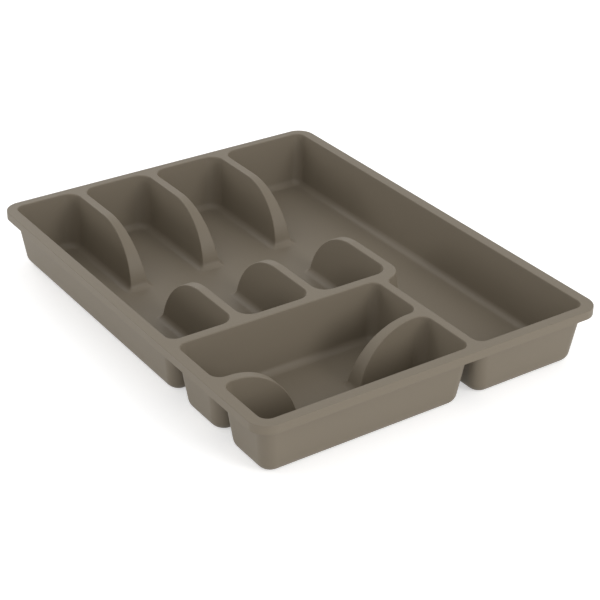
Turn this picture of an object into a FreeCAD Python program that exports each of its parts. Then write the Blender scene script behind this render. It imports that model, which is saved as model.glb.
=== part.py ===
import FreeCAD, Part
import math
import os
import re
import Sketcher

# Cutlery tray, moulded in one thin wall: an L-shaped pan with four bays and a front pan with two
# bays hang from one flat rim with a turned-down skirt, and hollow fins divide the bays.
# The rim, walls, fins, cross wall, partition and floors are regions of that one wall. Each is a
# solid of its own, and neighbours meet face to face.
# Frame: X to the right along the front, Y to the back, Z up, origin under the middle of the rim.

SIZES = {
    "tray_width": 305.0,
    "tray_length": 400.0,
    "tray_height": 49.5,
    "wall": 2.2,
    "wall_draft": 7.0,
    "fin_draft": 5.5,
    "side_rim": 9.0,
    "back_rim": 7.5,
    "front_rim": 9.0,
    "rim_corner": 15.0,
    "rim_edge": 0.6,
    "skirt_height": 7.2,
    "skirt_wall": 2.0,
    "first_bay": 55.7,
    "second_bay": 61.4,
    "third_bay": 65.2,
    "front_pan_length": 116.4,
    "cross_top": 7.9,
    "partition_top": 7.2,
    "fin_top": 7.2,
    "fin_sink": 2.5,
    "hand_gap": 51.2,
    "front_fin_flat": 9.5,
    "bay_corner": 8.0,
    "main_fin_root": 12.0,
    "front_fin_root": 9.0,
    "nub_reach": 19.4,
    "nub_end": 4.8,
    "nub_slant": 22.0,
    "nub_round": 17.5,
    "floor_round": 6.4,
}

# Places in the plan, where the inner faces meet the rim's top face
LEFT = "(side_rim - tray_width / 2)"
RIGHT = "(tray_width / 2 - side_rim)"
BACK = "(tray_length / 2 - back_rim)"
FRONT = "(front_rim - tray_length / 2)"
CROSS_FRONT = f"({FRONT} + front_pan_length)"
CROSS_BACK = f"({CROSS_FRONT} + cross_top)"
FIN_LEFT = f"({LEFT} + first_bay + fin_top / 2)"
FIN_MIDDLE = f"({FIN_LEFT} + fin_top + second_bay)"
FIN_RIGHT = f"({FIN_MIDDLE} + fin_top + third_bay)"
# The cross wall's bare end, the nub, reaches past the partition and slants back to it in an S-curve
NUB = f"({FIN_RIGHT} + fin_top / 2)"
NUB_CORNER = f"({CROSS_BACK} - nub_end)"
NUB_FRONT = f"({NUB_CORNER} - nub_reach * tan(nub_slant))"
PARTITION_RIGHT = f"({NUB} - nub_reach)"
PARTITION_LEFT = f"({PARTITION_RIGHT} - partition_top)"
PARTITION_MIDDLE = f"({PARTITION_RIGHT} - partition_top / 2)"
FRONT_FIN = f"(({FRONT} + {CROSS_FRONT}) / 2)"

# The height of the rim's underside, which is also the bays' depth, and how far the feet of walls and
# fins reach out from their top edges at most
UNDER_RIM = "(tray_height - wall)"
FOOT = f"(tan(wall_draft) * {UNDER_RIM} + floor_round)"
# The round of a fin's tip has its centre below the tray, and the main fins leave room for a hand
FIN_ROUND = "(tray_height + fin_sink)"
FIN_REACH = f"({FIN_ROUND} + floor_round)"
MAIN_FIN_FLAT = f"(({BACK} - {CROSS_BACK} - hand_gap) / 2 - {FIN_ROUND})"

# How far behind its root the right cross fin's hollow ends, short of the nub's corner, and how far
# the zones of the outer walls reach out past the rim's opening, to hold the whole wall
NUB_HOLLOW_END = "(1.2 * wall)"
ZONE_MARGIN = "(2 * wall)"

HEADINGS = {"right": 0, "back": 90, "left": 180, "front": 270}

# Each fin's root in the plan, the way it points, its flat top and how far its hollow runs on
# behind the root, into the open channel there
MAIN_FINS = {
    "back_fin_left": (FIN_LEFT, BACK, "front", MAIN_FIN_FLAT, "back_rim"),
    "back_fin_middle": (FIN_MIDDLE, BACK, "front", MAIN_FIN_FLAT, "back_rim"),
    "back_fin_right": (FIN_RIGHT, BACK, "front", MAIN_FIN_FLAT, "back_rim"),
    "cross_fin_left": (FIN_LEFT, CROSS_BACK, "back", MAIN_FIN_FLAT, "cross_top / 2"),
    "cross_fin_middle": (FIN_MIDDLE, CROSS_BACK, "back", MAIN_FIN_FLAT, "cross_top / 2"),
    "cross_fin_right": (FIN_RIGHT, CROSS_BACK, "back", MAIN_FIN_FLAT, NUB_HOLLOW_END),
}
FRONT_FINS = {
    "front_fin_left": (LEFT, FRONT_FIN, "right", "front_fin_flat", "side_rim"),
    "front_fin_right": (PARTITION_LEFT, FRONT_FIN, "left", "front_fin_flat", "partition_top / 2"),
}

# Each outer wall between two corners: the side it stands on and its two ends along that side
OUTER_WALLS = {
    "back_wall_bay_1": ("back", LEFT, f"({FIN_LEFT} - fin_top / 2)"),
    "back_wall_bay_2": ("back", f"({FIN_LEFT} + fin_top / 2)", f"({FIN_MIDDLE} - fin_top / 2)"),
    "back_wall_bay_3": ("back", f"({FIN_MIDDLE} + fin_top / 2)", f"({FIN_RIGHT} - fin_top / 2)"),
    "back_wall_bay_4": ("back", NUB, RIGHT),
    "left_wall_bay_1": ("left", CROSS_BACK, BACK),
    "left_wall_bay_5": ("left", f"({FRONT_FIN} + fin_top / 2)", CROSS_FRONT),
    "left_wall_bay_6": ("left", FRONT, f"({FRONT_FIN} - fin_top / 2)"),
    "right_wall_bay_4": ("right", FRONT, BACK),
    "front_wall_bay_6": ("front", LEFT, PARTITION_LEFT),
    "front_wall_bay_4": ("front", PARTITION_RIGHT, RIGHT),
}

SIZE_WORD = re.compile(r"\b(" + "|".join(SIZES) + r")\b")
EDGE_TOLERANCE = 0.01
SHARP_ANGLE = 0.2
PROBE = 0.05

doc = FreeCAD.newDocument("cutlery_tray")
sheet = doc.addObject("Spreadsheet::Sheet", "Sizes")
for row, (name, value) in enumerate(SIZES.items(), start=1):
    sheet.set(f"A{row}", name)
    sheet.set(f"B{row}", str(value))
    sheet.setAlias(f"B{row}", name)
doc.recompute()


def size(name):
    """The number that the sheet holds for a driving dimension."""
    return float(sheet.get(name))


def bind(thing, **formulas):
    """Tie properties to formulas of the driving dimensions."""
    for prop, formula in formulas.items():
        thing.setExpression(prop, SIZE_WORD.sub(r"Sizes.\1", formula))


def place(thing, x, y, z, turn=0, tip=0):
    """Tip a shape about X, turn it about Z, and tie its origin to a place."""
    tipped = FreeCAD.Rotation(FreeCAD.Vector(1, 0, 0), tip)
    turned = FreeCAD.Rotation(FreeCAD.Vector(0, 0, 1), turn)
    thing.Placement = FreeCAD.Placement(FreeCAD.Vector(), turned.multiply(tipped))
    bind(thing, **{f"Placement.Base.{axis}": formula for axis, formula in zip("xyz", (x, y, z))})


def join(kind, name, base, tool):
    """A boolean of two objects, such as a cut or a common part."""
    result = doc.addObject(kind, name)
    result.Base = base
    result.Tool = tool
    return result


def fuse(name, shapes):
    """One object of several, with faces that run on into each other merged."""
    result = doc.addObject("Part::MultiFuse", name)
    result.Shapes = shapes
    result.Refine = True
    return result


def upright_box(name, left, right, front, back, low, high):
    """A plain box between six formulas."""
    box = doc.addObject("Part::Box", name)
    bind(box, Length=f"{right} - {left}", Width=f"{back} - {front}", Height=f"{high} - {low}")
    place(box, left, front, low)
    return box


def drafted_block(name, left, right, front, back, low, high, pivot=("0", "0"), turn=0):
    """A block whose sides lean in as they go down; each side is its place at the rim and a draft.

    The places are measured from the pivot, about which the block is turned.
    """
    block = doc.addObject("Part::Wedge", name)

    def lean(side, level):
        return f"tan({side[1]}) * (tray_height - {level})"

    for end, level in (("", low), ("2", high)):
        bind(block, **{
            f"X{end}min": f"{left[0]} + {lean(left, level)}",
            f"X{end}max": f"{right[0]} - {lean(right, level)}",
            f"Z{end}min": f"{lean(back, level)} - {back[0]}",
            f"Z{end}max": f"-{front[0]} - {lean(front, level)}",
        })
    bind(block, Ymin=low, Ymax=high)
    place(block, *pivot, "0", turn, 90)
    return block


def spots(edge):
    """The two ends and the middle of an edge."""
    first, last = edge.ParameterRange
    return [edge.valueAt(spot) for spot in (first, last, (first + last) / 2)]


def heights(shape):
    """The lowest and the highest corner of a shape."""
    levels = [vertex.Point.z for vertex in shape.Vertexes]
    return min(levels), max(levels)


def corner_edges(shape):
    """Numbers of the sharp edges from bottom to top, each with whether it bends inwards."""
    low, high = heights(shape)
    found = []
    for number, edge in enumerate(shape.Edges, start=1):
        start, end, middle = spots(edge)
        if abs(start.z - end.z) < high - low - EDGE_TOLERANCE or not isinstance(edge.Curve, Part.Line):
            continue
        faces = shape.ancestorsOfType(edge, Part.Face)
        first, second = [face.normalAt(*face.Surface.parameter(middle)) for face in faces]
        if first.getAngle(second) > SHARP_ANGLE:
            probe = middle + (first - second) * PROBE
            found.append((number, shape.isInside(probe, EDGE_TOLERANCE, True)))
    return found


def level_edges(shape, level):
    """Numbers of the edges that lie at one height."""
    return [number for number, edge in enumerate(shape.Edges, start=1)
            if all(abs(spot.z - level) < EDGE_TOLERANCE for spot in spots(edge))]


def rounded(name, base, edges):
    """Round numbered edges of an object, each with its radius."""
    result = doc.addObject("Part::Fillet", name)
    result.Base = base
    result.Edges = [(number, radius, radius) for number, radius in edges]
    doc.recompute()
    return result


def fin_side_view(name, flat, grow, behind):
    """Sketch of a fin from the side: flat top from the root, then a round down below the floor."""
    sketch = doc.addObject("Sketcher::SketchObject", name)
    radius = size("tray_height") + size("fin_sink")
    point = FreeCAD.Vector
    circle = Part.Circle(point(radius, -radius, 0), point(0, 0, 1), radius)
    sketch.addGeometry([
        Part.LineSegment(point(-radius, 0, 0), point(radius, 0, 0)),
        Part.ArcOfCircle(circle, 0, math.pi / 2),
        Part.LineSegment(point(2 * radius, -radius, 0), point(-radius, -radius, 0)),
        Part.LineSegment(point(-radius, -radius, 0), point(-radius, 0, 0)),
    ])
    top, arc, base, heel = range(4)
    start, end, centre, origin = 1, 2, 3, -1
    for constraint in (
        ("Tangent", top, end, arc, end),
        ("Coincident", arc, start, base, start),
        ("Coincident", base, end, heel, start),
        ("Coincident", heel, end, top, start),
        ("Horizontal", top),
        ("Horizontal", base),
        ("Vertical", heel),
        ("PointOnObject", arc, centre, base),
    ):
        sketch.addConstraint(Sketcher.Constraint(*constraint))
    for label, constraint, formula in (
        ("round", ("Radius", arc, radius), f"{FIN_ROUND} - {grow}"),
        ("drop", ("DistanceY", arc, centre, origin, 1, radius), FIN_ROUND),
        ("flat", ("DistanceX", origin, 1, top, end, radius), flat),
        ("behind", ("DistanceX", top, start, origin, 1, radius), behind),
    ):
        number = sketch.addConstraint(Sketcher.Constraint(*constraint))
        sketch.renameConstraint(number, label)
        bind(sketch, **{f"Constraints.{label}": formula})
    return sketch


def fin_form(name, spec, grow):
    """A fin's outer form, or with grow of one wall the hollow inside it."""
    x, y, heading, flat, behind = spec
    turn = HEADINGS[heading]
    sketch = fin_side_view(f"{name}_side_view", flat, grow, behind)
    place(sketch, x, y, "tray_height", turn, 90)
    slab = doc.addObject("Part::Extrusion", f"{name}_slab")
    slab.Base = sketch
    slab.DirMode = "Normal"
    slab.Symmetric = True
    slab.Solid = True
    bind(slab, LengthFwd=f"fin_top + 2 * tan(fin_draft) * {FIN_ROUND}")
    taper = doc.addObject("Part::Wedge", f"{name}_taper")
    half = f"(fin_top / 2 - {grow} / cos(fin_draft))"
    foot = f"({half} + tan(fin_draft) * {FIN_ROUND})"
    bind(taper, Xmin=f"-({behind})", X2min=f"-({behind})", Xmax=f"{flat} + {FIN_ROUND}",
         X2max=f"{flat} + {FIN_ROUND}", Ymin=f"-{FIN_ROUND}", Ymax="0",
         Zmin=f"-{foot}", Zmax=foot, Z2min=f"-{half}", Z2max=half)
    place(taper, x, y, "tray_height", turn, 90)
    return join("Part::Common", f"{name}_form", slab, taper)


def pan_form(name, blocks, fins, fin_root, grow):
    """A pan's space with its fins left out, or with grow of one wall the outside of that pan.

    The bays' own corners are rounded first, then the fins' roots and the cross wall's bare end,
    then everything along the floor.
    """
    added = size("wall") if grow == "wall" else 0.0
    corner = size("bay_corner") + added
    root = size(fin_root) + added
    nub = size("nub_round") - added
    foot = size("floor_round") + added
    block = fuse(f"{name}_block", blocks) if len(blocks) > 1 else blocks[0]
    forms = fuse(f"{name}_fins", [fin_form(f"{name}_{fin}", spec, grow) for fin, spec in fins.items()])
    doc.recompute()
    bays = [(number, corner) for number, inward in corner_edges(block.Shape) if not inward]
    block = rounded(f"{name}_corners", block, bays)
    finned = join("Part::Cut", f"{name}_finned", block, forms)
    finned.Refine = True
    doc.recompute()
    roots = [(number, nub if inward else root) for number, inward in corner_edges(finned.Shape)]
    finned = rounded(f"{name}_roots", finned, roots)
    feet = [(number, foot) for number in level_edges(finned.Shape, heights(finned.Shape)[0])]
    return rounded(f"{name}_form", finned, feet)


def outward(side, draft, sign, grow):
    """A side's place at the rim, moved out square to its face."""
    return (f"({side} {sign} {grow} / cos({draft}))", draft)


def pan_forms(name, grow, low, high):
    """The main pan and the front pan, as spaces or as outsides."""
    left = outward(LEFT, "wall_draft", "-", grow)
    right = outward(RIGHT, "wall_draft", "+", grow)
    front = outward(FRONT, "wall_draft", "-", grow)
    back = outward(BACK, "wall_draft", "+", grow)
    cross_back = outward(CROSS_BACK, "wall_draft", "-", grow)
    cross_front = outward(CROSS_FRONT, "wall_draft", "+", grow)
    partition_left = outward(PARTITION_LEFT, "wall_draft", "+", grow)
    partition_right = outward(PARTITION_RIGHT, "wall_draft", "-", grow)
    nub = outward(NUB, "fin_draft", "-", grow)
    nub_front = outward("0", "wall_draft", "+", grow)
    beside_partition = join(
        "Part::Common", f"main_{name}_beside_partition",
        drafted_block(f"main_{name}_long_bay", partition_right, right, front, back, low, high),
        drafted_block(f"main_{name}_before_nub", ("-tray_width", "0"), ("tray_width", "0"),
                      ("(-tray_length)", "0"), nub_front, low, high,
                      (NUB, NUB_CORNER), size("nub_slant")))
    main = pan_form(f"main_{name}", [
        drafted_block(f"main_{name}_bays", left, right, cross_back, back, low, high),
        drafted_block(f"main_{name}_passage", nub, right, front, back, low, high),
        beside_partition,
    ], MAIN_FINS, "main_fin_root", grow)
    box = pan_form(f"front_{name}", [
        drafted_block(f"front_{name}_bays", left, partition_left, front, cross_front, low, high),
    ], FRONT_FINS, "front_fin_root", grow)
    return main, box


def rim_opening(name, low, high):
    """The opening inside the rim, as one drafted block with rounded corners."""
    sides = [(side, "wall_draft") for side in (LEFT, RIGHT, FRONT, BACK)]
    block = drafted_block(f"{name}_block", *sides, low, high)
    doc.recompute()
    corners = [(number, size("bay_corner")) for number, _ in corner_edges(block.Shape)]
    return rounded(name, block, corners)


def rim():
    """The flat rim round all bays, with its skirt turned down at the outer edge."""
    outer = ("-tray_width / 2", "tray_width / 2", "-tray_length / 2", "tray_length / 2")
    inner = ("skirt_wall - tray_width / 2", "tray_width / 2 - skirt_wall",
             "skirt_wall - tray_length / 2", "tray_length / 2 - skirt_wall")
    low = "(tray_height - skirt_height)"
    block = upright_box("rim_block", *outer, low, "tray_height")
    pocket = upright_box("rim_pocket", *(f"({side})" for side in inner), low, UNDER_RIM)
    doc.recompute()
    corner = size("rim_corner")
    block = rounded("rim_corners", block, [(number, corner) for number, _ in corner_edges(block.Shape)])
    top_edges = level_edges(block.Shape, size("tray_height"))
    block = rounded("rim_outside", block, [(number, size("rim_edge")) for number in top_edges])
    inside = corner - size("skirt_wall")
    pocket = rounded("rim_inside", pocket, [(number, inside) for number, _ in corner_edges(pocket.Shape)])
    channel = join("Part::Cut", "rim_channel", block, pocket)
    return join("Part::Cut", "rim", channel, rim_opening("rim_opening", low, "tray_height"))


def moulded_wall():
    """Everything inside and below the rim: the outsides of the pans and the web, less the spaces."""
    web = rim_opening("web", UNDER_RIM, "tray_height")
    main_skin, box_skin = pan_forms("skin", "wall", "0", UNDER_RIM)
    main_space, box_space = pan_forms("space", "0", "wall", "tray_height")
    skins = fuse("skins", [web, main_skin, box_skin])
    skins.Refine = False
    spaces = doc.addObject("Part::MultiFuse", "spaces")
    spaces.Shapes = [main_space, box_space]
    return join("Part::Cut", "moulded_wall", skins, spaces)


def plan_wedge(name, near, far, near_ends, far_ends):
    """An upright zone over a four-sided plan, between its two ends at each of two distances along Y."""
    zone = doc.addObject("Part::Wedge", name)
    bind(zone, Ymin=near, Xmin=near_ends[0], Xmax=near_ends[1],
         Ymax=far, X2min=far_ends[0], X2max=far_ends[1],
         Zmin="0", Zmax="tray_height", Z2min="0", Z2max="tray_height")
    return zone


def wall_zone(name, side, start, end):
    """Plan zone of an outer wall, mitred at both ends, from the rim's edge to the wall's foot."""
    turn, face, flip = {
        "front": (0, FRONT, False),
        "back": (180, f"-{BACK}", True),
        "left": (-90, LEFT, True),
        "right": (90, f"-{RIGHT}", False),
    }[side]
    low, high = (f"-{end}", f"-{start}") if flip else (start, end)
    zone = plan_wedge(f"{name}_zone", f"{face} - {ZONE_MARGIN}", f"{face} + {FOOT}",
                      (f"{low} - {ZONE_MARGIN}", f"{high} + {ZONE_MARGIN}"),
                      (f"{low} + {FOOT}", f"{high} - {FOOT}"))
    place(zone, "0", "0", "0", turn)
    return zone


def blade_zone(name, x, y, heading, half, foot, length):
    """Plan zone of a fin or partition: a mitred root and a strip as wide as its foot."""
    turn = HEADINGS[heading] + 90
    wide = f"({half} + {foot})"
    sides = (f"-{wide}", wide)
    root = plan_wedge(f"{name}_root_zone", f"-{foot}", half, sides, ("0", "0"))
    strip = plan_wedge(f"{name}_strip_zone", f"-({length})", f"-{foot}", sides, sides)
    for zone in (root, strip):
        place(zone, x, y, "0", turn)
    return fuse(f"{name}_zone", [root, strip])


def plan_zones():
    """A zone of the plan for each wall, fin and partition, and the zones that the floors leave out."""
    walls = {name: wall_zone(name, *spec) for name, spec in OUTER_WALLS.items()}
    blades = {}
    for name, (x, y, heading, flat, _) in {**MAIN_FINS, **FRONT_FINS}.items():
        blades[name] = blade_zone(name, x, y, heading, "(fin_top / 2)", FOOT, f"{flat} + {FIN_REACH}")
    blades["side_partition"] = blade_zone(
        "side_partition", PARTITION_MIDDLE, CROSS_FRONT, "front", "(partition_top / 2)", FOOT,
        "front_pan_length")
    blades["side_partition"] = join(
        "Part::Cut", "side_partition_clear", blades["side_partition"],
        fuse("beside_partition", [walls["front_wall_bay_6"], walls["front_wall_bay_4"],
                                  blades["front_fin_right"]]))
    taken = fuse("walls_and_blades", [*walls.values(), *blades.values()])
    bar = upright_box("cross_bar", "-tray_width / 2", f"({NUB} + {FOOT})",
                      f"({NUB_FRONT} - {FOOT})", f"({CROSS_BACK} + {FOOT})", "0", "tray_height")
    cross_wall = join("Part::Cut", "cross_wall_zone", bar, taken)
    return {**walls, **blades, "cross_wall": cross_wall}, [taken, bar]


def floors(other_zones):
    """The two flat floors: all of the plan inside the outer walls' feet that no other zone holds."""
    inside = (f"({LEFT} + {FOOT})", f"({RIGHT} - {FOOT})",
              f"({FRONT} + {FOOT})", f"({BACK} - {FOOT})")
    plate = join("Part::Cut", "floor_plate", upright_box("floor_block", *inside, "0", "wall"),
                 fuse("beside_floors", other_zones))
    front_pan = upright_box("front_pan_plan", "-tray_width / 2", PARTITION_MIDDLE,
                            "-tray_length / 2", CROSS_FRONT, "0", "tray_height")
    return [join("Part::Common", "front_floor", plate, front_pan),
            join("Part::Cut", "main_floor", plate, front_pan)]


def check(things):
    """Stop where any object failed, or where a sub-part is not one sound solid."""
    for thing in doc.Objects:
        if "Invalid" in thing.State or "Error" in thing.State:
            raise RuntimeError(f"{thing.Label} failed")
    for thing in things:
        if thing.Shape.isNull() or not thing.Shape.isValid() or len(thing.Shape.Solids) != 1:
            raise RuntimeError(f"{thing.Label} is not one sound solid")


def main():
    wall = moulded_wall()
    zones, other_zones = plan_zones()
    nodes = [rim(), *floors(other_zones)]
    for name, zone in zones.items():
        node = join("Part::Common", f"{name}_node", wall, zone)
        node.Label = name
        nodes.append(node)
    doc.recompute()
    check(nodes)
    whole = wall.Shape.Volume + nodes[0].Shape.Volume
    parts = sum(node.Shape.Volume for node in nodes)
    print(f"{len(nodes)} sub-parts, {parts:.1f} of {whole:.1f} cubic mm")
    os.makedirs("parts", exist_ok=True)
    for node in nodes:
        node.Shape.exportStep(f"parts/{node.Label}.step")


main()
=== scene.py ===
import math
from collections import namedtuple

import bpy
import numpy as np
from mathutils import Matrix, Vector
from mathutils.geometry import tessellate_polygon


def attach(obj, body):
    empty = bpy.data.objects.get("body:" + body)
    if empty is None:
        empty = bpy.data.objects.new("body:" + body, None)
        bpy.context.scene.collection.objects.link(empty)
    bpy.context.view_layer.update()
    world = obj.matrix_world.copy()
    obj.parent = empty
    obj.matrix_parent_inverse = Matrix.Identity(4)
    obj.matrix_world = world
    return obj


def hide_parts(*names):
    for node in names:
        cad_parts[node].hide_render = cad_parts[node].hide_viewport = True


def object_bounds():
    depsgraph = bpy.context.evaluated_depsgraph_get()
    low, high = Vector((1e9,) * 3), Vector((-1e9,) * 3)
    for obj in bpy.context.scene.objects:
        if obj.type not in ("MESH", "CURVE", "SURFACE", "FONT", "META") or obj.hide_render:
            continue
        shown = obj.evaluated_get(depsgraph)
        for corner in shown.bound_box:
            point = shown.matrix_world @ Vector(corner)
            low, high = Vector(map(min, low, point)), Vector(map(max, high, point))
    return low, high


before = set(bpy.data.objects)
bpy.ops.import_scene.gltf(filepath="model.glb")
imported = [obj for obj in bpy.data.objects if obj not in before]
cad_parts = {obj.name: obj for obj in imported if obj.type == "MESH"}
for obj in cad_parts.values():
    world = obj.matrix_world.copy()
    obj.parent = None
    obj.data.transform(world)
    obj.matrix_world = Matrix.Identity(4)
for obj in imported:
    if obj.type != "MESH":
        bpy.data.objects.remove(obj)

# The tray's visible skin, region by region. Each pan is a stack of outlines from the rim down to
# the floor, once for the inside and once, a wall further out, for the underside. Lengths are in
# millimetres until the meshes are made.

CAD_LOW, CAD_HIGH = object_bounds()
MM = 0.001

# Driving dimensions
TRAY_WIDTH = (CAD_HIGH.x - CAD_LOW.x) / MM
TRAY_LENGTH = (CAD_HIGH.y - CAD_LOW.y) / MM
TRAY_HEIGHT = (CAD_HIGH.z - CAD_LOW.z) / MM
WALL = 2.2
WALL_DRAFT = math.radians(7.0)
FIN_DRAFT = math.radians(5.5)
SIDE_RIM = 9.0
BACK_RIM = 7.5
FRONT_RIM = 9.0
RIM_CORNER = 15.0
RIM_EDGE = 0.6
SKIRT_HEIGHT = 7.2
SKIRT_WALL = 2.0
FIRST_BAY = 55.7
SECOND_BAY = 61.4
THIRD_BAY = 65.2
FRONT_PAN_LENGTH = 116.4
CROSS_TOP = 7.9
PARTITION_TOP = 7.2
FIN_TOP = 7.2
FIN_SINK = 2.5
HAND_GAP = 51.2
FRONT_FIN_FLAT = 9.5
BAY_CORNER = 8.0
MAIN_FIN_ROOT = 12.0
FRONT_FIN_ROOT = 9.0
NUB_REACH = 19.4
NUB_END = 4.8
NUB_SLANT = math.radians(22.0)
NUB_ROUND = 17.5
FLOOR_ROUND = 6.4

# Small rounds along edges that the solids leave sharp: bays and fins, underside, bottom of the skirt
EDGE_ROUND = 0.9
UNDER_ROUND = 0.6
SKIRT_EDGE = 0.3

# Places in the plan, where the inner faces meet the rim's top
LEFT = SIDE_RIM - TRAY_WIDTH / 2
RIGHT = TRAY_WIDTH / 2 - SIDE_RIM
BACK = TRAY_LENGTH / 2 - BACK_RIM
FRONT = FRONT_RIM - TRAY_LENGTH / 2
CROSS_FRONT = FRONT + FRONT_PAN_LENGTH
CROSS_BACK = CROSS_FRONT + CROSS_TOP
FIN_LEFT = LEFT + FIRST_BAY + FIN_TOP / 2
FIN_MIDDLE = FIN_LEFT + FIN_TOP + SECOND_BAY
FIN_RIGHT = FIN_MIDDLE + FIN_TOP + THIRD_BAY
NUB = FIN_RIGHT + FIN_TOP / 2
NUB_CORNER = CROSS_BACK - NUB_END
PARTITION_RIGHT = NUB - NUB_REACH
PARTITION_LEFT = PARTITION_RIGHT - PARTITION_TOP
FRONT_FIN = (FRONT + CROSS_FRONT) / 2
FIN_ROUND = TRAY_HEIGHT + FIN_SINK
MAIN_FIN_FLAT = (BACK - CROSS_BACK - HAND_GAP) / 2 - FIN_ROUND

# How finely the rounded stretches are divided; corners split between two regions at their middle
EDGE_STEPS = 4
WALL_STEPS = 22
FOOT_STEPS = 8
CORNER_STEPS = 10
TIP_STEPS = 6
RIM_CORNER_STEPS = 14

# The strips at the end of the rim's profile that stay flat, the skirt's bottom and its inner face, and
# the digits to which points have to agree to count as one
FLAT_STRIPS = 2
PLACE_DIGITS = 5

# Directions in the plan and upwards
EAST = np.array((1.0, 0.0))
NORTH = np.array((0.0, 1.0))
WEST = -EAST
SOUTH = -NORTH
SLANT = np.array((-math.cos(NUB_SLANT), -math.sin(NUB_SLANT)))
UP = np.array((0.0, 0.0, 1.0))

# The photograph's camera: its direction in degrees, its place in metres, lens and sensor in millimetres
VIEW_AZIMUTH = -34.24
VIEW_ELEVATION = 29.37
VIEW_ROLL = 0.57
VIEW_PLACE = (-0.6311, -0.9486, 0.6488)
LENS = 97.46
SENSOR = 36.0

# The plastic: its colour and gloss, and its grain, with the height of the bumps in metres
PLASTIC_COLOUR = (0.218, 0.184, 0.137, 1.0)
PLASTIC_ROUGHNESS = 0.5
PLASTIC_SPECULAR = 0.3
GRAIN_SCALE = 1800.0
GRAIN_DETAIL = 2.0
BUMP_STRENGTH = 0.08
BUMP_HEIGHT = 0.0002

# The studio: how far the floor reaches and the lamps stand, in metres, the floor's surface and how much
# whiter it looks than it is lit, and the light from all round, as it lights and as it is seen
FLOOR_REACH = 4.0
LAMP_DISTANCE = 1.9
FLOOR_COLOUR = (0.9, 0.9, 0.9, 1.0)
FLOOR_ROUGHNESS = 0.9
FLOOR_LIFT = 0.5
WORLD_LEVEL = 0.65
WORLD_SEEN = 1.0
WHITE = (1.0, 1.0, 1.0, 1.0)

# The outer walls in the order in which the rim's opening passes them
RIM_WALLS = (
    "left_wall_bay_1", "left_wall_bay_5", "left_wall_bay_6", "front_wall_bay_6", "front_wall_bay_4",
    "right_wall_bay_4", "back_wall_bay_4", "back_wall_bay_3", "back_wall_bay_2", "back_wall_bay_1",
)

# The two skins: how far out from the inner faces each lies, and the round along its edges
Skin = namedtuple("Skin", "out edge")
INSIDE = Skin(out=0.0, edge=EDGE_ROUND)
UNDERSIDE = Skin(out=WALL, edge=UNDER_ROUND)


def floor_depth(skin):
    """Depth of a skin's floor below the rim's top."""
    return TRAY_HEIGHT - WALL + skin.out


def foot_round(skin):
    """Radius of the fillet along a skin's floor."""
    return FLOOR_ROUND + skin.out


def face_inset(skin, depth, draft):
    """How far a leaning flat face has come in from its place at the rim."""
    return depth * math.tan(draft) - skin.out / math.cos(draft)


def inset(skin, depth, draft):
    """The same for the whole face, with its rounded top edge and the fillet at its foot."""
    below_top = depth - skin.out
    if below_top < skin.edge * (1 - math.sin(draft)):
        centre = face_inset(skin, skin.out + skin.edge, draft) - skin.edge / math.cos(draft)
        return centre + math.sqrt(max(skin.edge ** 2 - (skin.edge - below_top) ** 2, 0.0))
    foot = foot_round(skin)
    centre_depth = floor_depth(skin) - foot
    if depth > centre_depth + foot * math.sin(draft):
        centre = face_inset(skin, centre_depth, draft) + foot / math.cos(draft)
        return centre - math.sqrt(max(foot ** 2 - (depth - centre_depth) ** 2, 0.0))
    return face_inset(skin, depth, draft)


def extra_inset(skin, depth, draft):
    """What the rounded edge takes off, or the foot adds, beside the flat face."""
    return inset(skin, depth, draft) - face_inset(skin, depth, draft)


def depths(skin):
    """Depths of a skin's outlines, down its rounded edge, its walls and its foot.

    The walls are divided by equal turns of the fins' arch.
    """
    edge_turns = np.linspace(math.pi / 2, WALL_DRAFT, EDGE_STEPS + 1)
    edge = skin.out + skin.edge * (1 - np.sin(edge_turns))
    foot = foot_round(skin)
    foot_turns = np.linspace(WALL_DRAFT, math.pi / 2, FOOT_STEPS + 1)
    feet = floor_depth(skin) - foot * (1 - np.sin(foot_turns))
    arch = FIN_ROUND - skin.out
    ends = [math.acos(1 - (depth - skin.out) / arch) for depth in (edge[-1], feet[0])]
    walls = skin.out + arch * (1 - np.cos(np.linspace(*ends, WALL_STEPS + 1)))
    return [*edge[:-1], *walls[:-1], *feet]


def arch_reach(skin, depth, drop=0.0):
    """How far a fin's arch reaches beyond its flat top; drop is what its edge has rounded off."""
    rise = FIN_ROUND - depth
    return math.sqrt(max((FIN_ROUND - skin.out - drop) ** 2 - rise ** 2, 0.0))


def arch_foot(skin, depth):
    """What the floor fillet adds to a fin's reach."""
    foot = foot_round(skin)
    centre_depth = floor_depth(skin) - foot
    arch = FIN_ROUND - skin.out
    rise = FIN_ROUND - centre_depth
    if depth < FIN_ROUND - rise * arch / (arch + foot):
        return 0.0
    centre = math.sqrt((arch + foot) ** 2 - rise ** 2)
    reach = centre - math.sqrt(max(foot ** 2 - (depth - centre_depth) ** 2, 0.0))
    return reach - arch_reach(skin, depth)


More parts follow.
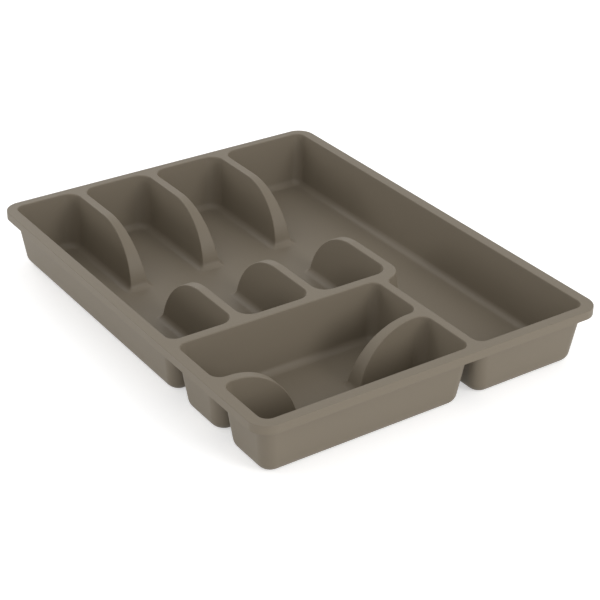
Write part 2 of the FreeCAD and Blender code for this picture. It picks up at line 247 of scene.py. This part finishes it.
def fin_tip(skin, depth, flat):
    """Half of a fin's tip at a depth, from its side to its middle, as reach and half width."""
    below_top = depth - skin.out
    start = FIN_DRAFT
    if below_top < skin.edge * (1 - math.sin(FIN_DRAFT)):
        start = math.asin(1 - below_top / skin.edge)
    half = FIN_TOP / 2 + face_inset(skin, depth, FIN_DRAFT)
    side_foot = max(extra_inset(skin, depth, FIN_DRAFT), 0.0)
    centre = -skin.edge * (1 - math.sin(FIN_DRAFT)) / math.cos(FIN_DRAFT)
    points = []
    for turn in np.linspace(start, math.pi / 2, TIP_STEPS + 1):
        drop = skin.edge * (1 - math.sin(turn))
        round_off = centre + skin.edge * math.cos(turn) - drop * math.tan(FIN_DRAFT)
        way = (turn - FIN_DRAFT) / (math.pi / 2 - FIN_DRAFT) * math.pi / 2
        reach = flat + arch_reach(skin, depth, drop) + arch_foot(skin, depth) * math.sin(way)
        points.append((reach, half + round_off + side_foot * math.cos(way)))
    return points


class Outline:
    """A pan's outline at one depth, anticlockwise from above, with the region that owns each stretch."""

    def __init__(self, skin, depth):
        self.skin = skin
        self.depth = depth
        self.points = []
        self.owners = []
        self.wall = inset(skin, depth, WALL_DRAFT)
        self.side = FIN_TOP / 2 + inset(skin, depth, FIN_DRAFT)
        self.wall_extra = extra_inset(skin, depth, WALL_DRAFT)
        self.fin_extra = extra_inset(skin, depth, FIN_DRAFT)

    def add(self, point, owner):
        """Add a point, with the region that owns the stretch from it to the next one."""
        self.points.append(point)
        self.owners.append(owner)

    def corner(self, place, before, after, radius, owners):
        """A rounded corner between two directions, shared at its middle by two regions."""
        bend = math.acos(np.dot(before, after))
        side = (after - before * math.cos(bend)) / math.sin(bend)
        centre = np.array(place) + radius * (side - before * math.tan(bend / 2))
        for step in range(CORNER_STEPS + 1):
            turn = bend * step / CORNER_STEPS
            point = centre + radius * (before * math.sin(turn) - side * math.cos(turn))
            self.add(point, owners[0] if step < CORNER_STEPS / 2 else owners[1])

    def bay_corner(self, place, before, after, first, second):
        """A corner of a bay, where two walls meet."""
        self.corner(place, before, after, BAY_CORNER + self.skin.out - self.wall_extra, (first, second))

    def nub_front(self, x):
        """Where the cross wall's slanting bare end lies, at a place across the tray."""
        return NUB_CORNER + (x - NUB) * math.tan(NUB_SLANT) - self.wall / math.cos(NUB_SLANT)

    def fin(self, name, root, before, heading, flat, root_round, first, second, far_root=True):
        """A fin that stands out from a wall, reached along the wall in the direction before."""
        root = np.array(root)
        foot = root + self.wall * heading
        radius = root_round + self.skin.out - (self.wall_extra + self.fin_extra) / 2
        self.corner(foot - self.side * before, before, heading, radius, (first, name))
        tip = fin_tip(self.skin, self.depth, flat)
        for reach, half in tip:
            self.add(root + reach * heading - half * before, name)
        for reach, half in reversed(tip):
            self.add(root + reach * heading + half * before, name)
        if far_root:
            self.corner(foot + self.side * before, -heading, before, radius, (name, second))
        else:
            self.add(foot + self.side * before + radius * heading, second)


def main_pan(skin, depth):
    """The L-shaped pan: three bays with two rows of fins, and the long bay at the right."""
    line = Outline(skin, depth)
    left, right = LEFT + line.wall, RIGHT - line.wall
    front, back = FRONT + line.wall, BACK - line.wall
    partition, nub = PARTITION_RIGHT + line.wall, FIN_RIGHT + line.side
    line.bay_corner((left, CROSS_BACK + line.wall), SOUTH, EAST, "left_wall_bay_1", "cross_wall")
    for name, place in (("left", FIN_LEFT), ("middle", FIN_MIDDLE), ("right", FIN_RIGHT)):
        line.fin(f"cross_fin_{name}", (place, CROSS_BACK), EAST, NORTH, MAIN_FIN_FLAT, MAIN_FIN_ROOT,
                 "cross_wall", "cross_wall", far_root=name != "right")
    nub_round = NUB_ROUND - skin.out + (line.wall_extra + line.fin_extra) / 2
    line.corner((nub, line.nub_front(nub)), SOUTH, SLANT, nub_round, ("cross_wall", "cross_wall"))
    line.bay_corner((partition, line.nub_front(partition)), SLANT, SOUTH, "cross_wall", "side_partition")
    line.bay_corner((partition, front), SOUTH, EAST, "side_partition", "front_wall_bay_4")
    line.bay_corner((right, front), EAST, NORTH, "front_wall_bay_4", "right_wall_bay_4")
    line.bay_corner((right, back), NORTH, WEST, "right_wall_bay_4", "back_wall_bay_4")
    for bay, name, place in ((4, "right", FIN_RIGHT), (3, "middle", FIN_MIDDLE), (2, "left", FIN_LEFT)):
        line.fin(f"back_fin_{name}", (place, BACK), WEST, SOUTH, MAIN_FIN_FLAT, MAIN_FIN_ROOT,
                 f"back_wall_bay_{bay}", f"back_wall_bay_{bay - 1}")
    line.bay_corner((left, back), WEST, SOUTH, "back_wall_bay_1", "left_wall_bay_1")
    return line


def front_pan(skin, depth):
    """The front pan: two short bays parted by a pair of fins."""
    line = Outline(skin, depth)
    left, right = LEFT + line.wall, PARTITION_LEFT - line.wall
    front, back = FRONT + line.wall, CROSS_FRONT - line.wall
    line.bay_corner((left, front), SOUTH, EAST, "left_wall_bay_6", "front_wall_bay_6")
    line.bay_corner((right, front), EAST, NORTH, "front_wall_bay_6", "side_partition")
    line.fin("front_fin_right", (PARTITION_LEFT, FRONT_FIN), NORTH, WEST, FRONT_FIN_FLAT, FRONT_FIN_ROOT,
             "side_partition", "side_partition")
    line.bay_corner((right, back), NORTH, WEST, "side_partition", "cross_wall")
    line.bay_corner((left, back), WEST, SOUTH, "cross_wall", "left_wall_bay_5")
    line.fin("front_fin_left", (LEFT, FRONT_FIN), SOUTH, EAST, FRONT_FIN_FLAT, FRONT_FIN_ROOT,
             "left_wall_bay_5", "left_wall_bay_6")
    return line


def corner_normals(grid):
    """Normals at a grid's points, each face counted by its area; rows run down, columns run round."""
    along = np.roll(grid, -1, axis=1) - grid
    down = grid[1:] - grid[:-1]
    faces = (np.cross(along[:-1], down) + np.cross(along[1:], down)) / 2
    normals = np.zeros_like(grid)
    for rows in (slice(0, -1), slice(1, None)):
        normals[rows] += faces + np.roll(faces, 1, axis=1)
    return normals


class Pan:
    """A pan's two skins as grids of points and normals, from the rim down and round the outline."""

    def __init__(self, outline):
        self.owners = outline(INSIDE, 0.0).owners
        self.size = len(self.owners)
        self.points = []
        self.normals = []
        for skin, sign in ((INSIDE, 1.0), (UNDERSIDE, -1.0)):
            rows = [[(*point, TRAY_HEIGHT - depth) for point in outline(skin, depth).points]
                    for depth in depths(skin)]
            grid = np.array(rows)
            normals = sign * corner_normals(grid)
            normals[0] = normals[-1] = sign * UP
            self.points.append(grid)
            self.normals.append(normals)

    def runs(self, owner):
        """First and last point of each unbroken stretch that a region owns."""
        starts = [i for i in range(self.size) if self.owners[i] == owner and self.owners[i - 1] != owner]
        found = []
        for start in starts:
            end = start
            while self.owners[end % self.size] == owner:
                end += 1
            found.append((start, end))
        return found


class Piece:
    """One region's closed mesh, gathered face by face with the normals at its corners."""

    def __init__(self, name):
        self.name = name
        self.places = {}
        self.faces = []
        self.normals = []

    def face(self, points, normals=None):
        """Add a face; without normals it is flat. Corners that fall together are left out."""
        points = np.array(points)
        keys = [tuple(np.round(point, PLACE_DIGITS)) for point in points]
        kept = [i for i in range(len(keys)) if keys[i] != keys[i - 1]]
        if len(kept) < 3:
            return
        if normals is None:
            flat = sum(np.cross(points[i - 1], points[i]) for i in range(len(points)))
            normals = [flat] * len(points)
        self.faces.append([self.places.setdefault(keys[i], len(self.places)) for i in kept])
        self.normals.extend(normals[i] for i in kept)

    def strip(self, upper, lower, upper_normals=None, lower_normals=None, closed=False):
        """Faces between two rows of points, facing left of the way that the rows run."""
        count = len(upper)
        for i in range(count if closed else count - 1):
            k = (i + 1) % count
            normals = None
            if upper_normals is not None:
                normals = (upper_normals[i], upper_normals[k], lower_normals[k], lower_normals[i])
            self.face((upper[i], upper[k], lower[k], lower[i]), normals)

    def make(self, material):
        """Make the mesh object, riding on the tray in place of its solid."""
        mesh = bpy.data.meshes.new(self.name)
        mesh.from_pydata([[MM * value for value in key] for key in self.places], [], self.faces)
        mesh.polygons.foreach_set("use_smooth", [True] * len(mesh.polygons))
        mesh.normals_split_custom_set([Vector(normal).normalized() for normal in self.normals])
        mesh.materials.append(material)
        thing = bpy.data.objects.new(f"{self.name}_skin", mesh)
        bpy.context.scene.collection.objects.link(thing)
        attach(thing, "root")
        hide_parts(self.name)


def add_walls(piece, pan):
    """Both skins of every stretch that a region owns, closed at its ends and along the floor."""
    inner, under = pan.points
    inner_normals, under_normals = pan.normals
    for start, end in pan.runs(piece.name):
        span = [i % pan.size for i in range(start, end + 1)]
        back = span[::-1]
        for row in range(len(inner) - 1):
            piece.strip(inner[row][span], inner[row + 1][span],
                        inner_normals[row][span], inner_normals[row + 1][span])
            piece.strip(under[row][back], under[row + 1][back],
                        under_normals[row][back], under_normals[row + 1][back])
        piece.strip(inner[-1][span], under[-1][span])
        piece.strip(under[:, span[0]][::-1], inner[:, span[0]][::-1])
        piece.strip(under[:, span[-1]], inner[:, span[-1]])


def stretches(pans, owner):
    """Top outlines of a region on both skins, stretch by stretch."""
    for pan in pans:
        for start, end in pan.runs(owner):
            span = [i % pan.size for i in range(start, end + 1)]
            yield pan.points[0][0][span], pan.points[1][0][span]


def add_top(piece, pans):
    """The flat top of a fin, cross wall or partition, closed where it runs on into its neighbours."""
    parts = list(stretches(pans, piece.name))
    top = np.concatenate([upper for upper, _ in parts])
    under = np.concatenate([lower for _, lower in parts])
    piece.face(top[::-1])
    piece.face(under)
    for (upper, lower), (next_upper, next_lower) in zip(parts, parts[1:] + parts[:1]):
        piece.strip((upper[-1], next_upper[0]), (lower[-1], next_lower[0]))


def add_wall_top(piece, pans):
    """The narrow face where an outer wall runs on into the rim."""
    for upper, lower in stretches(pans, piece.name):
        piece.strip(upper[::-1], lower[::-1])


def floor_piece(name, pan):
    """A flat floor inside the feet of its pan's walls."""
    piece = Piece(name)
    inner, under = pan.points[0][-1], pan.points[1][-1]
    piece.face(inner)
    piece.face(under[::-1])
    piece.strip(under, inner, closed=True)
    return piece


def rim_loop(inwards, height):
    """The rim's rounded rectangle, drawn in by a distance, at a height."""
    radius = RIM_CORNER - inwards
    half = np.array((TRAY_WIDTH / 2, TRAY_LENGTH / 2)) - RIM_CORNER
    loop = []
    for quarter, signs in enumerate(((1, -1), (1, 1), (-1, 1), (-1, -1))):
        for step in range(RIM_CORNER_STEPS + 1):
            turn = math.pi / 2 * (quarter - 1 + step / RIM_CORNER_STEPS)
            way = np.array((math.cos(turn), math.sin(turn)))
            loop.append((*(half * signs + radius * way), height))
    return np.array(loop)


def rim_profile():
    """Distance in from the rim's outer edge and height, over the edge and round the skirt."""
    top = TRAY_HEIGHT
    low = TRAY_HEIGHT - SKIRT_HEIGHT
    turns = np.linspace(0, math.pi / 2, EDGE_STEPS + 1)
    over = [(RIM_EDGE * (1 - math.sin(turn)), top - RIM_EDGE * (1 - math.cos(turn)))
            for turn in turns]
    below = [(SKIRT_EDGE * (1 - math.cos(turn)), low + SKIRT_EDGE * (1 - math.sin(turn)))
             for turn in turns]
    return [*over, *below, (SKIRT_WALL, low), (SKIRT_WALL, TRAY_HEIGHT - WALL)]


def fill_between(piece, outer, inner, normal):
    """A flat face between an outline and the outline of the hole in it."""
    points = [Vector(point) for point in (*outer, *inner)]
    for triangle in tessellate_polygon([points[:len(outer)], points[len(outer):]]):
        corners = np.array([points[i] for i in triangle])
        if np.dot(np.cross(corners[1] - corners[0], corners[2] - corners[0]), normal) < 0:
            corners = corners[::-1]
        piece.face(corners)


def rim_piece(pans):
    """The flat rim with its rounded outer edge and its skirt."""
    piece = Piece("rim")
    parts = [part for wall in RIM_WALLS for part in stretches(pans, wall)]
    hole_top = np.concatenate([upper for upper, _ in parts])
    hole_under = np.concatenate([lower for _, lower in parts])
    loops = np.array([rim_loop(*spot) for spot in rim_profile()])
    fill_between(piece, loops[0], hole_top, UP)
    fill_between(piece, loops[-1], hole_under, -UP)
    piece.strip(hole_top, hole_under, closed=True)
    normals = -corner_normals(loops)
    normals[0] = UP
    strips = len(loops) - 1
    for row in range(strips):
        smooth = row < strips - FLAT_STRIPS
        piece.strip(loops[row][::-1], loops[row + 1][::-1], normals[row][::-1] if smooth else None,
                    normals[row + 1][::-1] if smooth else None, closed=True)
    return piece


def tray_pieces():
    """Every region of the tray as a closed piece."""
    pans = [Pan(main_pan), Pan(front_pan)]
    pieces = [rim_piece(pans)]
    for name, pan in zip(("main_floor", "front_floor"), pans):
        pieces.append(floor_piece(name, pan))
    for name in sorted({owner for pan in pans for owner in pan.owners}):
        piece = Piece(name)
        for pan in pans:
            add_walls(piece, pan)
        if name in RIM_WALLS:
            add_wall_top(piece, pans)
        else:
            add_top(piece, pans)
        pieces.append(piece)
    return pieces


def tray_plastic():
    """Warm grey-brown polypropylene with a fine matt grain."""
    material = bpy.data.materials.new("tray_plastic")
    material.use_nodes = True
    nodes, links = material.node_tree.nodes, material.node_tree.links
    shader = nodes["Principled BSDF"]
    shader.inputs["Base Color"].default_value = PLASTIC_COLOUR
    shader.inputs["Roughness"].default_value = PLASTIC_ROUGHNESS
    shader.inputs["Specular IOR Level"].default_value = PLASTIC_SPECULAR
    place = nodes.new("ShaderNodeTexCoord")
    grain = nodes.new("ShaderNodeTexNoise")
    grain.inputs["Scale"].default_value = GRAIN_SCALE
    grain.inputs["Detail"].default_value = GRAIN_DETAIL
    bump = nodes.new("ShaderNodeBump")
    bump.inputs["Strength"].default_value = BUMP_STRENGTH
    bump.inputs["Distance"].default_value = BUMP_HEIGHT
    links.new(place.outputs["Object"], grain.inputs["Vector"])
    links.new(grain.outputs["Fac"], bump.inputs["Height"])
    links.new(bump.outputs["Normal"], shader.inputs["Normal"])
    return material


def seen_directly(tree):
    """An output that is one for what is seen, directly, mirrored or through a surface, else zero."""
    rays = tree.nodes.new("ShaderNodeLightPath")
    seen = rays.outputs["Is Camera Ray"]
    for name in ("Is Glossy Ray", "Is Transmission Ray"):
        most = tree.nodes.new("ShaderNodeMath")
        most.operation = "MAXIMUM"
        tree.links.new(seen, most.inputs[0])
        tree.links.new(rays.outputs[name], most.inputs[1])
        seen = most.outputs["Value"]
    return seen


def floor():
    """A plain white floor that shows white to the camera and keeps the tray's soft shadow."""
    mesh = bpy.data.meshes.new("floor")
    corners = [(FLOOR_REACH * x, FLOOR_REACH * y, 0.0) for x, y in ((-1, -1), (1, -1), (1, 1), (-1, 1))]
    mesh.from_pydata(corners, [], [range(len(corners))])
    thing = bpy.data.objects.new("floor", mesh)
    bpy.context.scene.collection.objects.link(thing)
    material = bpy.data.materials.new("floor_white")
    material.use_nodes = True
    tree = material.node_tree
    shader = tree.nodes["Principled BSDF"]
    shader.inputs["Base Color"].default_value = FLOOR_COLOUR
    shader.inputs["Roughness"].default_value = FLOOR_ROUGHNESS
    shader.inputs["Emission Color"].default_value = WHITE
    lift = tree.nodes.new("ShaderNodeMath")
    lift.operation = "MULTIPLY"
    lift.inputs[1].default_value = FLOOR_LIFT
    tree.links.new(seen_directly(tree), lift.inputs[0])
    tree.links.new(lift.outputs["Value"], shader.inputs["Emission Strength"])
    mesh.materials.append(material)


def direction(azimuth, elevation):
    """A unit vector away from the tray; azimuth 0 is to its front and 90 to its right."""
    turn, rise = math.radians(azimuth), math.radians(elevation)
    return Vector((math.sin(turn) * math.cos(rise), -math.cos(turn) * math.cos(rise), math.sin(rise)))


def light(name, azimuth, elevation, width, power):
    """A large soft lamp aimed at the tray."""
    lamp = bpy.data.lights.new(name, "AREA")
    lamp.shape = "DISK"
    lamp.size = width
    lamp.energy = power
    thing = bpy.data.objects.new(name, lamp)
    thing.location = LAMP_DISTANCE * direction(azimuth, elevation)
    thing.rotation_euler = thing.location.to_track_quat("Z", "Y").to_euler()
    bpy.context.scene.collection.objects.link(thing)


def lights():
    """Even white light from all round, with soft lamps at the front, the left and the back."""
    world = bpy.data.worlds.new("studio")
    bpy.context.scene.world = world
    world.use_nodes = True
    tree = world.node_tree
    background = tree.nodes["Background"]
    background.inputs["Color"].default_value = WHITE
    strength = tree.nodes.new("ShaderNodeMapRange")
    strength.inputs["To Min"].default_value = WORLD_LEVEL
    strength.inputs["To Max"].default_value = WORLD_SEEN
    tree.links.new(seen_directly(tree), strength.inputs["Value"])
    tree.links.new(strength.outputs["Result"], background.inputs["Strength"])
    light("front_lamp", azimuth=15.0, elevation=25.0, width=0.8, power=10.0)
    light("left_lamp", azimuth=245.0, elevation=15.0, width=0.6, power=4.0)
    light("back_lamp", azimuth=180.0, elevation=25.0, width=0.8, power=4.5)


def camera():
    """The photograph's viewpoint."""
    backwards = direction(VIEW_AZIMUTH, VIEW_ELEVATION)
    level = Vector(UP).cross(backwards).normalized()
    turned = Matrix((level, backwards.cross(level), backwards)).transposed()
    eye = bpy.data.cameras.new("camera")
    eye.sensor_width = SENSOR
    eye.lens = LENS
    thing = bpy.data.objects.new("camera", eye)
    rolled = turned @ Matrix.Rotation(math.radians(VIEW_ROLL), 3, "Z")
    thing.matrix_world = Matrix.Translation(VIEW_PLACE) @ rolled.to_4x4()
    bpy.context.scene.collection.objects.link(thing)
    bpy.context.scene.camera = thing


def main():
    plastic = tray_plastic()
    for piece in tray_pieces():
        piece.make(plastic)
    floor()
    lights()
    camera()
    bpy.context.scene.view_settings.view_transform = "Standard"


main()
